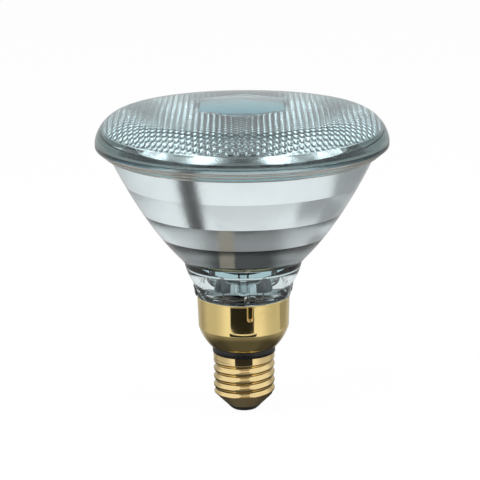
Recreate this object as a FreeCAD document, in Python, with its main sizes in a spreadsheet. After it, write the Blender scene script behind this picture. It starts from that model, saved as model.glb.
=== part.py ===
import FreeCAD, Part
import math
import os
import re
import Sketcher
from FreeCAD import Placement, Rotation, Vector

# Reflector bulb with a screw cap, in millimetres.
# The origin is the tip of the cap, on the bulb's axis; +Z points to the lens.

doc = FreeCAD.newDocument("reflector_bulb")
sheet = doc.addObject("Spreadsheet::Sheet", "Sizes")
sizes = {}


def size(name, value):
    """Give one driving dimension its own row in the sheet."""
    row = len(sizes) + 1
    sizes[name] = value
    sheet.set(f"A{row}", name)
    sheet.set(f"B{row}", str(value))
    sheet.setAlias(f"B{row}", name)


# Heights and radii of the whole bulb
size("overall_height", 133.2)
size("rim_radius", 61.1)
size("cap_height", 50.8)

# Lens
size("lens_rise", 16.0)
size("lens_edge", 0.8)
size("shoulder_width", 12.5)
size("shoulder_round", 14.5)
size("dome_round", 360.0)
size("lens_seal", 4.9)
size("lens_wall", 3.4)
size("lens_corner", 8.0)
size("lens_corner_drop", 5.1)
size("lens_corner_round", 11.1)
size("panel_width", 38.0)
size("panel_side", 26.4)
size("panel_length", 52.0)
size("panel_drop", 1.7)
size("panel_frame", 1.4)
size("panel_frame_depth", 0.5)
size("panel_root", 1.1)

# Reflector bowl
size("seal_width", 7.6)
size("vertex_rise", 6.8)
size("floor_radius", 14.5)
size("floor_wall", 4.4)
size("vertex_wall", 3.1)
size("bowl_wall", 4.25)
size("zone_one_depth", 38.2)
size("zone_two_depth", 28.0)
size("zone_three_depth", 16.2)
size("zone_step", 0.35)

# Reflector flange
size("flange_depth", 6.0)
size("flange_edge", 1.3)
size("flange_land", 1.4)
size("flange_rise", 0.8)
size("flange_ridges", 3)
size("ridge_round", 1.9)

# Reflector neck
size("coat_edge_rise", 10.0)
size("coat_ledge", 1.3)
size("coat_ledge_drop", 0.7)
size("flare_rise", 6.5)
size("flare_swell", 1.25)
size("flare_round", 24.0)
size("collar_proud", 0.7)
size("collar_height", 2.4)
size("collar_swell", 0.4)
size("neck_wall", 2.9)
size("neck_pocket_rise", 4.6)
size("neck_pocket_step", 0.7)
size("spigot_depth", 7.2)
size("spigot_fit", 0.3)
size("spigot_chamfer", 1.2)
size("lug_width", 5.0)
size("lug_height", 4.4)
size("lug_proud", 0.45)
size("lug_gap", 0.3)
size("lug_round", 1.2)

# Exhaust tube
size("tube_radius", 2.8)
size("tube_bore", 1.5)
size("tube_length", 9.0)

# Ferrules, posts and filament
size("ferrule_offset", 8.8)
size("ferrule_radius", 3.4)
size("ferrule_wall", 0.35)
size("ferrule_length", 6.5)
size("ferrule_seat", 0.6)
size("ferrule_bore", 2.4)
size("post_radius", 0.9)
size("post_bend", 3.0)
size("post_lean_rise", 6.4)
size("post_lean_height", 4.0)
size("post_above", 2.9)
size("filament_rise", 12.0)
size("filament_gap", 6.4)
size("coil_radius", 1.1)
size("coil_length", 8.4)
size("leg_radius", 0.3)

# Skirt
size("skirt_radius", 19.25)
size("skirt_wall", 0.5)
size("lip_proud", 0.45)
size("lip_height", 4.0)
size("skirt_bowl_height", 8.8)
size("shoulder_break", 0.6)
size("shoulder_chamfer", 0.2)
size("skirt_land", 0.8)
size("skirt_bowl_round", 20.0)
size("skirt_hole", 12.0)
size("crimp_count", 4)
size("crimp_turn", 8.0)
size("crimp_width", 1.8)
size("crimp_length", 6.6)
size("crimp_depth", 0.95)
size("crimp_clearance", 0.3)
size("cut_over", 1.0)

# Insulator ring
size("ring_overhang", 0.3)
size("ring_height", 3.0)
size("ring_bore", 8.6)
size("ring_lip", 1.6)
size("ring_lip_height", 1.2)
size("ring_spigot", 1.8)
size("ring_fit", 0.05)

# Screw shell
size("crest_radius", 13.1)
size("thread_depth", 0.9)
size("thread_pitch", 3.629)
size("thread_turns", 4)
size("first_crest", 8.1)
size("crest_land", 0.7)
size("shell_collar", 3.334)
size("shell_wall", 0.4)
size("shell_foot_height", 2.25)
size("shell_foot_radius", 7.6)
size("shell_foot_edge", 0.56)

# Base insulator, centre contact and leads
size("plug_height", 7.0)
size("plug_fit", 0.05)
size("plug_face_height", 0.15)
size("plug_face_radius", 5.5)
size("plug_face_round", 12.0)
size("plug_bore", 1.1)
size("contact_radius", 4.5)
size("contact_wall", 0.5)
size("contact_height", 0.15)
size("contact_eyelet", 0.9)
size("solder_radius", 2.1)
size("solder_face", 1.7)
size("solder_neck", 1.3)
size("solder_fit", 0.02)
size("lead_radius", 0.4)
size("lead_bend", 3.0)
size("lead_end", 0.5)
size("lead_drop", 8.0)
size("live_lead_rise", 5.4)
size("neutral_lead_offset", 6.8)
size("neutral_lead_rise", 4.4)
size("neutral_bend", 1.6)

doc.recompute()


def bind(expression):
    """Point each size's name at its cell."""
    return re.sub(r"[a-z_]+", lambda m: f"Sizes.{m[0]}" if m[0] in sizes else m[0], str(expression))


def number(expression):
    return float(sheet.evalExpression(bind(expression)))


# Sketches

def origin_part(body, role):
    return next(item for item in body.Origin.OriginFeatures if item.Role == role)


def new_body(label):
    body = doc.addObject("PartDesign::Body", label)
    body.Label = label
    return body


def new_sketch(body, name, plane="XZ_Plane", lift=None):
    """Add a sketch on one of the body's own planes, lifted off it where asked."""
    sketch = body.newObject("Sketcher::SketchObject", f"{body.Label}_{name}")
    sketch.AttachmentSupport = [(origin_part(body, plane), "")]
    sketch.MapMode = "FlatFace"
    if lift is not None:
        sketch.setExpression("AttachmentOffset.Base.z", bind(lift))
    return sketch


def crimp_sketch(body, name, reach):
    """Add an upright sketch that faces out at the first crimp, at a reach from the axis."""
    sketch = new_sketch(body, name, lift=f"({reach}) * cos(crimp_turn)")
    sketch.AttachmentOffset = Placement(Vector(), Rotation(Vector(0, 1, 0), sizes["crimp_turn"]))
    sketch.setExpression("AttachmentOffset.Rotation.Angle", bind("crimp_turn"))
    sketch.setExpression("AttachmentOffset.Base.x", bind(f"({reach}) * sin(crimp_turn)"))
    return sketch


def tie(sketch, kind, geometry, point, expression):
    """Fix one coordinate of a point, or a radius, to a formula of sizes."""
    if kind == "Radius":
        index = sketch.addConstraint(Sketcher.Constraint(kind, geometry, number(expression)))
    elif str(expression) == "0":
        axis = -2 if kind == "DistanceX" else -1
        sketch.addConstraint(Sketcher.Constraint("PointOnObject", geometry, point, axis))
        return
    else:
        index = sketch.addConstraint(
            Sketcher.Constraint(kind, -1, 1, geometry, point, number(expression)))
    name = f"{kind.lower()}_{geometry}_{point}"
    sketch.renameConstraint(index, name)
    sketch.setExpression(f"Constraints.{name}", bind(expression))


def arc_between(start, end, radius, side):
    """A short arc from start to end with its centre to the left or the right of the way."""
    chord = end - start
    across = Vector(-chord.y, chord.x, 0).normalize() * (-1 if side == "right" else 1)
    reach = math.sqrt(max(radius ** 2 - (chord.Length / 2) ** 2, 0))
    centre = (start + end) / 2 + across * reach
    first, last = (end, start) if side == "right" else (start, end)
    angles = [math.atan2(p.y - centre.y, p.x - centre.x) for p in (first, last)]
    return Part.ArcOfCircle(Part.Circle(centre, Vector(0, 0, 1), radius), *angles)


def outline(sketch, corners):
    """Draw a closed outline of (x, y) corners, or (x, y, radius, side) where an arc follows.

    The side is that of the arc's centre: left, right, or half for a level half circle.
    """
    places = [Vector(number(c[0]), number(c[1]), 0) for c in corners]
    starts, ends = [], []
    for index, corner in enumerate(corners):
        start = places[index]
        end = places[(index + 1) % len(corners)]
        if len(corner) == 2:
            geometry = sketch.addGeometry(Part.LineSegment(start, end), False)
            starts.append((geometry, 1))
            ends.append((geometry, 2))
            continue
        geometry = sketch.addGeometry(arc_between(start, end, number(corner[2]), corner[3]), False)
        left = corner[3] != "right"
        starts.append((geometry, 1 if left else 2))
        ends.append((geometry, 2 if left else 1))
    for index, corner in enumerate(corners):
        sketch.addConstraint(Sketcher.Constraint("Coincident", *ends[index - 1], *starts[index]))
        tie(sketch, "DistanceX", *starts[index], corner[0])
        tie(sketch, "DistanceY", *starts[index], corner[1])
        if len(corner) > 2 and corner[3] == "half":
            tie(sketch, "DistanceY", starts[index][0], 3, corner[1])
        elif len(corner) > 2:
            tie(sketch, "Radius", starts[index][0], 0, corner[2])
    return sketch


def circle(sketch, x, y, radius):
    geometry = sketch.addGeometry(
        Part.Circle(Vector(number(x), number(y), 0), Vector(0, 0, 1), number(radius)), False)
    tie(sketch, "DistanceX", geometry, 3, x)
    tie(sketch, "DistanceY", geometry, 3, y)
    tie(sketch, "Radius", geometry, 0, radius)
    return sketch


def route(sketch, points, bend):
    """Draw an open path through the points, with one tangent arc at each inner point."""
    places = [Vector(number(x), number(y), 0) for x, y in points]
    lines, arcs = [], []
    cuts = [places[0]]
    for before, corner, after in zip(places, places[1:], places[2:]):
        back = (before - corner).normalize()
        ahead = (after - corner).normalize()
        reach = number(bend) / math.tan(back.getAngle(ahead) / 2)
        cuts += [corner + back * reach, corner + ahead * reach]
    cuts.append(places[-1])
    for index in range(0, len(cuts), 2):
        lines.append(sketch.addGeometry(Part.LineSegment(cuts[index], cuts[index + 1]), False))
    for index in range(1, len(points) - 1):
        start, end = cuts[2 * index - 1], cuts[2 * index]
        turn = (places[index] - places[index - 1]).cross(places[index + 1] - places[index]).z
        side = "left" if turn > 0 else "right"
        arc = sketch.addGeometry(arc_between(start, end, number(bend), side), False)
        arcs.append((arc, side))
    for index, (arc, side) in enumerate(arcs):
        first, last = (1, 2) if side == "left" else (2, 1)
        sketch.addConstraint(Sketcher.Constraint("Tangent", lines[index], 2, arc, first))
        sketch.addConstraint(Sketcher.Constraint("Tangent", arc, last, lines[index + 1], 1))
        tie(sketch, "Radius", arc, 0, bend)
        corner = sketch.addGeometry(Part.Point(places[index + 1]), True)
        for line in (lines[index], lines[index + 1]):
            sketch.addConstraint(Sketcher.Constraint("PointOnObject", corner, 1, line))
        tie(sketch, "DistanceX", corner, 1, points[index + 1][0])
        tie(sketch, "DistanceY", corner, 1, points[index + 1][1])
    for line, end, (x, y) in ((lines[0], 1, points[0]), (lines[-1], 2, points[-1])):
        tie(sketch, "DistanceX", line, end, x)
        tie(sketch, "DistanceY", line, end, y)
    return sketch


# Features

def revolve(body, sketch, axis="V_Axis"):
    feature = body.newObject("PartDesign::Revolution", f"{sketch.Name}_turned")
    feature.Profile = sketch
    feature.ReferenceAxis = (sketch, [axis])
    feature.Angle = 360
    return feature


def pad(body, sketch, length):
    feature = body.newObject("PartDesign::Pad", f"{sketch.Name}_pad")
    feature.Profile = sketch
    feature.setExpression("Length", bind(length))
    return feature


def pocket(body, sketch, length, reverse=False):
    """Cut a pocket and make sure that it takes material away."""
    doc.recompute()
    before = body.Shape.Volume
    feature = body.newObject("PartDesign::Pocket", f"{sketch.Name}_cut")
    feature.Profile = sketch
    feature.Reversed = reverse
    feature.setExpression("Length", bind(length))
    doc.recompute()
    if body.Shape.Volume >= before:
        raise ValueError(f"{sketch.Name} cuts nothing")
    return feature


def around_axis(body, features, count):
    feature = body.newObject("PartDesign::PolarPattern", f"{features[0].Name}_pattern")
    feature.Originals = features
    feature.Axis = (origin_part(body, "Z_Axis"), [""])
    feature.Angle = 360
    feature.setExpression("Occurrences", bind(count))
    body.Tip = feature
    return feature


def sweep(body, profile, spine):
    feature = body.newObject("PartDesign::AdditivePipe", f"{spine.Name}_swept")
    feature.Profile = profile
    feature.Spine = spine
    return feature


def box_outline(half_width, low, high, round_size):
    """Corners of an upright rectangle with rounded corners, about the sketch's upright axis."""
    inner = f"({half_width}) - {round_size}"
    return [(f"-({inner})", low),
            (inner, low, round_size, "left"),
            (half_width, f"({low}) + {round_size}"),
            (half_width, f"({high}) - {round_size}", round_size, "left"),
            (inner, high),
            (f"-({inner})", high, round_size, "left"),
            (f"-({half_width})", f"({high}) - {round_size}"),
            (f"-({half_width})", f"({low}) + {round_size}", round_size, "left")]


# Shared formulas

lens_mouth = "(rim_radius - lens_seal)"
mouth_radius = "(rim_radius - seal_width)"
seam_height = "(overall_height - lens_rise)"
flange_height = f"({seam_height} - flange_depth)"
zone_one = f"({seam_height} - zone_one_depth)"
zone_two = f"({seam_height} - zone_two_depth)"
zone_three = f"({seam_height} - zone_three_depth)"
bowl_vertex = "(cap_height + vertex_rise)"
coat_edge_height = f"({bowl_vertex} + coat_edge_rise)"
neck_pocket_height = f"({bowl_vertex} + neck_pocket_rise)"
filament_height = f"({bowl_vertex} + filament_rise)"
collar_radius = "(skirt_radius + collar_proud)"
flare_height = "(cap_height + flare_rise)"
flare_radius = f"({collar_radius} + collar_swell + flare_swell)"
shell_top = "(first_crest + thread_pitch * thread_turns - crest_land / 2 + shell_collar)"
skirt_bottom = f"({shell_top} + ring_height)"
skirt_shoulder = f"({skirt_bottom} + skirt_bowl_height)"
ring_radius = "(crest_radius + ring_overhang)"
crimp_inner = "(skirt_radius - crimp_depth)"
spigot_radius = "(skirt_radius - skirt_wall - spigot_fit)"
floor_height = f"({bowl_vertex} + ({seam_height} - {bowl_vertex}) * (floor_radius / {mouth_radius})^2)"
floor_bottom = f"({floor_height} - floor_wall)"
ferrule_bottom = f"({floor_bottom} + ferrule_seat - ferrule_length)"
outer_vertex = f"({bowl_vertex} - vertex_wall)"
shell_bore = "(crest_radius - shell_wall)"


def dome_height(radius, inset):
    """Height of the lens dome at a radius, with the surface set in by a wall."""
    return f"(overall_height - dome_round + sqrt((dome_round - {inset})^2 - ({radius})^2))"


def inner_radius(height):
    """Radius of the mirror, a paraboloid through the mouth."""
    return f"({mouth_radius} * sqrt(({height} - {bowl_vertex}) / ({seam_height} - {bowl_vertex})))"


outer_mouth = f"({inner_radius(flange_height)} + bowl_wall)"


def outer_radius(height):
    """Radius of the bowl's outside, a paraboloid that thickens towards the rim."""
    return f"({outer_mouth} * sqrt(({height} - {outer_vertex}) / ({flange_height} - {outer_vertex})))"


def bend_round(mouth, top, vertex, low, high):
    """Radius of curvature of a paraboloid half way between two heights."""
    slope = f"({mouth}^2 / ({top} - {vertex}))"
    return f"({slope} / 2 * (1 + 4 * (({low} + {high}) / 2 - {vertex}) / {slope})^1.5)"


def inner_bend(low, high):
    return bend_round(mouth_radius, seam_height, bowl_vertex, low, high)


def outer_bend(low, high):
    return bend_round(outer_mouth, flange_height, outer_vertex, low, high)


# Glass

def make_lens():
    body = new_body("lens")
    dome_edge = "(rim_radius - shoulder_width)"
    corner = f"({lens_mouth} - lens_corner)"
    section = outline(new_sketch(body, "section"), [
        (lens_mouth, seam_height),
        ("rim_radius", seam_height),
        ("rim_radius", f"{seam_height} + lens_edge", "shoulder_round", "left"),
        (dome_edge, dome_height(dome_edge, 0), "dome_round", "left"),
        ("0", "overall_height"),
        ("0", "overall_height - lens_wall", "dome_round - lens_wall", "right"),
        (corner, dome_height(corner, "lens_wall"), "lens_corner_round", "right"),
        (lens_mouth, f"{dome_height(corner, 'lens_wall')} - lens_corner_drop"),
    ])
    revolve(body, section)
    face = "overall_height - lens_wall - panel_drop"
    panel = new_sketch(body, "panel", "XY_Plane", lift=face)
    pad(body, six_sides(panel, "0"), "panel_drop + panel_root")
    frame = new_sketch(body, "panel_frame", "XY_Plane", lift=face)
    pocket(body, six_sides(frame, "panel_frame"), "panel_frame_depth", True)
    return body


def six_sides(sketch, inset):
    """The panel's six sides, set in all round, with one corner to the front and one to the back."""
    slope = "((panel_length - panel_side) / panel_width)"
    half = f"(panel_width / 2 - {inset})"
    tip = f"(panel_length / 2 - {inset} * sqrt(1 + {slope}^2))"
    side = f"({tip} - {half} * {slope})"
    return outline(sketch, [("0", f"-{tip}"), (half, f"-{side}"), (half, side),
                            ("0", tip), (f"-{half}", side), (f"-{half}", f"-{side}")])


def flange_corners():
    """Stepped underside of the flange, from the bowl up to the edge."""
    low_x = f"({outer_mouth} + flange_land)"
    low_y = f"({flange_height} + flange_rise)"
    high_y = f"({seam_height} - flange_edge)"
    corners = [(outer_mouth, flange_height)]
    for step in range(int(sizes["flange_ridges"])):
        share = f"{step} / flange_ridges"
        corners.append((f"{low_x} + (rim_radius - {low_x}) * {share}",
                        f"{low_y} + ({high_y} - {low_y}) * {share}", "ridge_round", "left"))
    corners.append(("rim_radius", high_y))
    return corners


def outer_bowl_corners():
    heights = [coat_edge_height, zone_one, zone_two, flange_height]
    return [(outer_radius(low), low, outer_bend(low, high), "left")
            for low, high in zip(heights, heights[1:])]


def inner_bowl_corners():
    """Four mirror zones from the mouth down, each set back from the next by a small step."""
    heights = [seam_height, zone_three, zone_two, zone_one, floor_height]
    corners = [(mouth_radius, heights[0], inner_bend(heights[1], heights[0]), "right")]
    for high, low in zip(heights[1:], heights[2:]):
        corners.append((f"{inner_radius(high)} + zone_step", high))
        corners.append((inner_radius(high), high, inner_bend(low, high), "right"))
    corners.append(("floor_radius", floor_height))
    return corners


def make_reflector():
    body = new_body("reflector")
    foot_height = "(cap_height - spigot_depth)"
    bore = f"({spigot_radius} - neck_wall)"
    section = outline(new_sketch(body, "section"), [
        (f"{bore}", foot_height),
        (f"{spigot_radius} - spigot_chamfer", foot_height),
        (spigot_radius, f"{foot_height} + spigot_chamfer"),
        (spigot_radius, "cap_height"),
        (collar_radius, "cap_height"),
        (f"{collar_radius} + collar_swell", "cap_height + collar_height"),
        (flare_radius, flare_height, "flare_round", "left"),
        (f"{outer_radius(coat_edge_height)} - coat_ledge", f"{coat_edge_height} - coat_ledge_drop"),
    ] + outer_bowl_corners() + flange_corners() + [
        ("rim_radius", seam_height),
    ] + inner_bowl_corners() + [
        ("tube_bore", floor_height),
        ("tube_bore", floor_bottom),
        (outer_radius(floor_bottom), floor_bottom,
         outer_bend(floor_bottom, neck_pocket_height), "left"),
        (outer_radius(neck_pocket_height), neck_pocket_height),
        (f"{outer_radius(neck_pocket_height)} + neck_pocket_step", neck_pocket_height),
        (f"{flare_radius} - neck_wall", flare_height),
        (f"{collar_radius} + collar_swell - neck_wall", "cap_height + collar_height"),
        (bore, "cap_height"),
    ])
    revolve(body, section)
    lug = crimp_sketch(body, "lug", f"{collar_radius} - neck_wall / 2")
    lug_low = "(cap_height + lug_gap)"
    outline(lug, box_outline("lug_width / 2", lug_low, f"{lug_low} + lug_height", "lug_round"))
    lug_pad = pad(body, lug, "neck_wall / 2 + collar_swell + lug_proud")
    around_axis(body, [lug_pad], "crimp_count")
    recess = crimp_sketch(body, "recess", f"{crimp_inner} - skirt_wall - crimp_clearance")
    half = "(crimp_width / 2 + skirt_wall + crimp_clearance)"
    outline(recess, [(f"-{half}", f"{foot_height} - cut_over"), (half, f"{foot_height} - cut_over"),
                     (half, "cap_height"), (f"-{half}", "cap_height")])
    recess_cut = pocket(body, recess, "crimp_depth + skirt_wall + spigot_fit", True)
    around_axis(body, [recess_cut], "crimp_count")
    for side in ("-", ""):
        name = "left" if side else "right"
        seat = new_sketch(body, f"seat_{name}", "XY_Plane", lift=floor_bottom)
        circle(seat, f"{side}ferrule_offset", "0", "ferrule_radius")
        pocket(body, seat, "ferrule_seat", True)
        hole = new_sketch(body, f"bore_{name}", "XY_Plane", lift=floor_bottom)
        circle(hole, f"{side}ferrule_offset", "0", "ferrule_bore")
        pocket(body, hole, "floor_wall", True)
    return body


def make_exhaust_tube():
    """Glass stub under the floor, drawn down to a closed tip."""
    body = new_body("exhaust_tube")
    tip = f"({floor_bottom} - tube_length)"
    wall = "(tube_radius - tube_bore)"
    revolve(body, outline(new_sketch(body, "section"), [
        ("0", tip, "tube_radius", "left"),
        ("tube_radius", f"{tip} + tube_radius"),
        ("tube_radius", floor_bottom),
        ("tube_bore", floor_bottom),
        ("tube_bore", f"{tip} + tube_radius + {wall}"),
        ("0", f"{tip} + {wall} * 2"),
    ]))
    return body


# Parts inside the glass

def make_ferrule(label, side):
    """Metal cup, open to the bulb, with its edge sealed in the glass floor."""
    body = new_body(label)
    section = outline(new_sketch(body, "section"), [
        ("0", ferrule_bottom),
        ("ferrule_radius - ferrule_wall", ferrule_bottom),
        ("ferrule_radius", f"{ferrule_bottom} + ferrule_wall"),
        ("ferrule_radius", f"{ferrule_bottom} + ferrule_length"),
        ("ferrule_radius - ferrule_wall", f"{ferrule_bottom} + ferrule_length"),
        ("ferrule_radius - ferrule_wall", f"{ferrule_bottom} + ferrule_wall"),
        ("0", f"{ferrule_bottom} + ferrule_wall"),
    ])
    revolve(body, section)
    body.setExpression("Placement.Base.x", bind(f"{side}ferrule_offset"))
    return body


def make_post(label, side):
    """Stiff wire that stands in a ferrule and leans in to the filament."""
    body = new_body(label)
    start = f"({ferrule_bottom} + ferrule_wall)"
    inner = f"{side}filament_gap"
    profile = circle(new_sketch(body, "wire", "XY_Plane", lift=start),
                     f"{side}ferrule_offset", "0", "post_radius")
    spine = route(new_sketch(body, "path"), [
        (f"{side}ferrule_offset", start),
        (f"{side}ferrule_offset", f"{bowl_vertex} + post_lean_rise"),
        (inner, f"{bowl_vertex} + post_lean_rise + post_lean_height"),
        (inner, f"{filament_height} + post_above"),
    ], "post_bend")
    sweep(body, profile, spine)
    return body


def make_filament():
    """Coil with two straight legs that reach the posts."""
    body = new_body("filament")
    reach = "(filament_gap - post_radius)"
    revolve(body, outline(new_sketch(body, "section"), [
        (f"-{reach}", "0"),
        (reach, "0"),
        (reach, "leg_radius"),
        ("coil_length / 2", "leg_radius"),
        ("coil_length / 2", "coil_radius"),
        ("-coil_length / 2", "coil_radius"),
        ("-coil_length / 2", "leg_radius"),
        (f"-{reach}", "leg_radius"),
    ]), "H_Axis")
    body.setExpression("Placement.Base.z", bind(filament_height))
    return body


def make_live_lead():
    body = new_body("live_lead")
    profile = circle(new_sketch(body, "wire", "XY_Plane", lift=ferrule_bottom),
                     "-ferrule_offset", "0", "lead_radius")
    spine = route(new_sketch(body, "path"), [
        ("-ferrule_offset", ferrule_bottom),
        ("-ferrule_offset", f"{ferrule_bottom} - lead_drop"),
        ("0", f"{skirt_bottom} + live_lead_rise"),
        ("0", "lead_end"),
    ], "lead_bend")
    sweep(body, profile, spine)
    return body


def make_neutral_lead():
    body = new_body("neutral_lead")
    weld_height = "(first_crest + thread_pitch * 2.5)"
    profile = circle(new_sketch(body, "wire", "XY_Plane", lift=ferrule_bottom),
                     "ferrule_offset", "0", "lead_radius")
    spine = route(new_sketch(body, "path"), [
        ("ferrule_offset", ferrule_bottom),
        ("ferrule_offset", f"{ferrule_bottom} - lead_drop"),
        ("neutral_lead_offset", f"{skirt_bottom} + neutral_lead_rise"),
        ("neutral_lead_offset", weld_height),
        ("crest_radius - thread_depth - shell_wall", weld_height),
    ], "neutral_bend")
    sweep(body, profile, spine)
    return body


# Cap

def make_skirt():
    body = new_body("skirt")
    inner = "(skirt_radius - skirt_wall)"
    section = outline(new_sketch(body, "section"), [
        ("skirt_hole", skirt_bottom),
        (f"{ring_radius} + skirt_land", skirt_bottom, "skirt_bowl_round", "left"),
        ("skirt_radius - shoulder_chamfer", f"{skirt_shoulder} - shoulder_break"),
        ("skirt_radius", skirt_shoulder),
        ("skirt_radius", "cap_height - lip_height"),
        ("skirt_radius + lip_proud", "cap_height"),
        (inner, "cap_height"),
        (inner, skirt_shoulder),
        (f"{inner} - shoulder_chamfer", f"{skirt_shoulder} - shoulder_break",
         "skirt_bowl_round - skirt_wall", "right"),
        (f"{ring_radius} + skirt_land - skirt_wall / 2", f"{skirt_bottom} + skirt_wall"),
        ("skirt_hole", f"{skirt_bottom} + skirt_wall"),
    ])
    revolve(body, section)
    flute = "(crimp_width / 2)"
    low = "(cap_height - crimp_length)"
    back = crimp_sketch(body, "crimp_back", f"{crimp_inner} - skirt_wall")
    outline(back, [
        (f"-({flute} + skirt_wall)", f"{low} + {flute}", f"{flute} + skirt_wall", "half"),
        (f"{flute} + skirt_wall", f"{low} + {flute}"),
        (f"{flute} + skirt_wall", "cap_height"),
        (f"-({flute} + skirt_wall)", "cap_height"),
    ])
    back_pad = pad(body, back, "crimp_depth")
    front = crimp_sketch(body, "crimp_front", crimp_inner)
    outline(front, [
        (f"-{flute}", f"{low} + {flute}", flute, "half"),
        (flute, f"{low} + {flute}"),
        (flute, "cap_height + cut_over"),
        (f"-{flute}", "cap_height + cut_over"),
    ])
    front_cut = pocket(body, front, "crimp_depth + cut_over", True)
    around_axis(body, [back_pad, front_cut], "crimp_count")
    return body


def make_insulator_ring():
    """Moulded ring: its lip grips the skirt's floor and its spigot stands in the shell."""
    body = new_body("insulator_ring")
    lip_low = f"({skirt_bottom} + skirt_wall + ring_fit)"
    revolve(body, outline(new_sketch(body, "section"), [
        ("ring_bore", f"{shell_top} - ring_spigot"),
        (f"{shell_bore} - ring_fit", f"{shell_top} - ring_spigot"),
        (f"{shell_bore} - ring_fit", shell_top),
        (ring_radius, shell_top),
        (ring_radius, skirt_bottom),
        ("skirt_hole - ring_fit", skirt_bottom),
        ("skirt_hole - ring_fit", lip_low),
        ("skirt_hole + ring_lip", lip_low),
        ("skirt_hole + ring_lip", f"{lip_low} + ring_lip_height"),
        ("ring_bore", f"{lip_low} + ring_lip_height"),
    ]))
    return body


def thread_corners(shift):
    """Rolled thread from the lowest crest up; shift moves the outline in by the wall."""
    gap = "((thread_pitch - crest_land) / 2)"
    groove = f"({gap}^2 + thread_depth^2) / (2 * thread_depth) + {shift}"
    corners = []
    for turn in range(int(sizes["thread_turns"])):
        middle = f"first_crest + thread_pitch * {turn}"
        corners.append((f"crest_radius - {shift}", f"{middle} - crest_land / 2"))
        corners.append((f"crest_radius - {shift}", f"{middle} + crest_land / 2", groove, "right"))
    top = f"first_crest + thread_pitch * thread_turns - crest_land / 2"
    corners.append((f"crest_radius - {shift}", top))
    return corners


def flip(corners):
    """The same outline walked the other way."""
    back = []
    for index in range(len(corners) - 1, -1, -1):
        x, y = corners[index][:2]
        before = corners[index - 1] if index else (x, y)
        arc = (before[2], "left" if before[3] == "right" else "right") if len(before) > 2 else ()
        back.append((x, y) + arc)
    return back


def make_screw_shell():
    body = new_body("screw_shell")
    outer = [("shell_foot_radius", "shell_foot_height")] + thread_corners("0")
    inner = [("shell_foot_radius - shell_foot_edge", "shell_foot_height")]
    inner += thread_corners("shell_wall")
    outer.append(("crest_radius", shell_top))
    inner.append((shell_bore, shell_top))
    revolve(body, outline(new_sketch(body, "section"), outer + flip(inner)))
    return body


def make_base_insulator():
    """Black glass plug that fills the foot of the shell and carries the contact."""
    body = new_body("base_insulator")
    foot = "(shell_foot_radius - shell_foot_edge)"
    rise = f"((first_crest - crest_land / 2 - shell_foot_height) / ({shell_bore} - {foot}))"
    seat = "(contact_height + contact_wall)"
    revolve(body, outline(new_sketch(body, "section"), [
        ("contact_radius + plug_fit", "plug_face_height"),
        ("plug_face_radius", "plug_face_height", "plug_face_round", "left"),
        ("shell_foot_radius - plug_fit", "shell_foot_height - plug_fit"),
        (f"{foot} - plug_fit - plug_fit / {rise}", "shell_foot_height - plug_fit"),
        (f"{foot} - plug_fit + (plug_height - shell_foot_height) / {rise}", "plug_height"),
        ("plug_bore", "plug_height"),
        ("plug_bore", seat),
        ("contact_radius + plug_fit", seat),
    ]))
    return body


def make_centre_contact():
    body = new_body("centre_contact")
    revolve(body, outline(new_sketch(body, "section"), [
        ("contact_eyelet", "contact_height"),
        ("contact_radius - contact_wall / 2", "contact_height"),
        ("contact_radius", "contact_height + contact_wall / 2"),
        ("contact_radius", "contact_height + contact_wall"),
        ("contact_eyelet", "contact_height + contact_wall"),
    ]))
    return body


def make_contact_solder():
    """Solder button with a flat face at the tip, and the plug of solder round the lead."""
    body = new_body("contact_solder")
    bore = "(lead_radius + solder_fit)"
    plug = "(contact_eyelet - solder_fit)"
    revolve(body, outline(new_sketch(body, "section"), [
        ("0", "0"),
        ("solder_face", "0"),
        ("solder_radius", "contact_height"),
        (plug, "contact_height"),
        (plug, "solder_neck"),
        (bore, "solder_neck"),
        (bore, "lead_end"),
        ("0", "lead_end"),
    ]))
    return body


parts = [
    make_lens(),
    make_reflector(),
    make_exhaust_tube(),
    make_ferrule("ferrule_left", "-"),
    make_ferrule("ferrule_right", ""),
    make_post("filament_post_left", "-"),
    make_post("filament_post_right", ""),
    make_filament(),
    make_live_lead(),
    make_neutral_lead(),
    make_skirt(),
    make_insulator_ring(),
    make_screw_shell(),
    make_base_insulator(),
    make_centre_contact(),
    make_contact_solder(),
]
doc.recompute()

for item in doc.Objects:
    if {"Invalid", "Error"} & set(item.State):
        raise ValueError(f"{item.Name} failed: {item.State}")
for part in parts:
    if part.Shape.isNull() or not part.Shape.isValid() or len(part.Shape.Solids) != 1:
        raise ValueError(f"{part.Label} is not one valid solid")

os.makedirs("parts", exist_ok=True)
for part in parts:
    part.Shape.exportStep(f"parts/{part.Label}.step")
    print(f"{part.Label}: {part.Shape.Volume / 1000:.2f} cm3, {len(part.Shape.Faces)} faces")
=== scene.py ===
import bpy
import math
from mathutils import Matrix, Vector
from mathutils.geometry import delaunay_2d_cdt


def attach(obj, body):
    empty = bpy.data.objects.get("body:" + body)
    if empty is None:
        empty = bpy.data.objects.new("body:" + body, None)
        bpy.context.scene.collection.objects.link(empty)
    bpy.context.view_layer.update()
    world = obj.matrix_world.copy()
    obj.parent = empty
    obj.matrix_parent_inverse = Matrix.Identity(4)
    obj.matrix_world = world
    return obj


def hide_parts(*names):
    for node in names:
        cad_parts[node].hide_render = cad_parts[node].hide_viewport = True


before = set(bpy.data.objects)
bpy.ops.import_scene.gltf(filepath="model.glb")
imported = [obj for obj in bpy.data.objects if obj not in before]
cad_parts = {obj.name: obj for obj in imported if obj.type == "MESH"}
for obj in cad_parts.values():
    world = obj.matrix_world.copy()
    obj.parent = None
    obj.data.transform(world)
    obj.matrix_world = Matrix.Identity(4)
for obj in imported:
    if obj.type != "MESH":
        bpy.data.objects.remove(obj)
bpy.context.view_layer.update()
mm = 0.001
print("frame loaded")


# Shader sums

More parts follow.
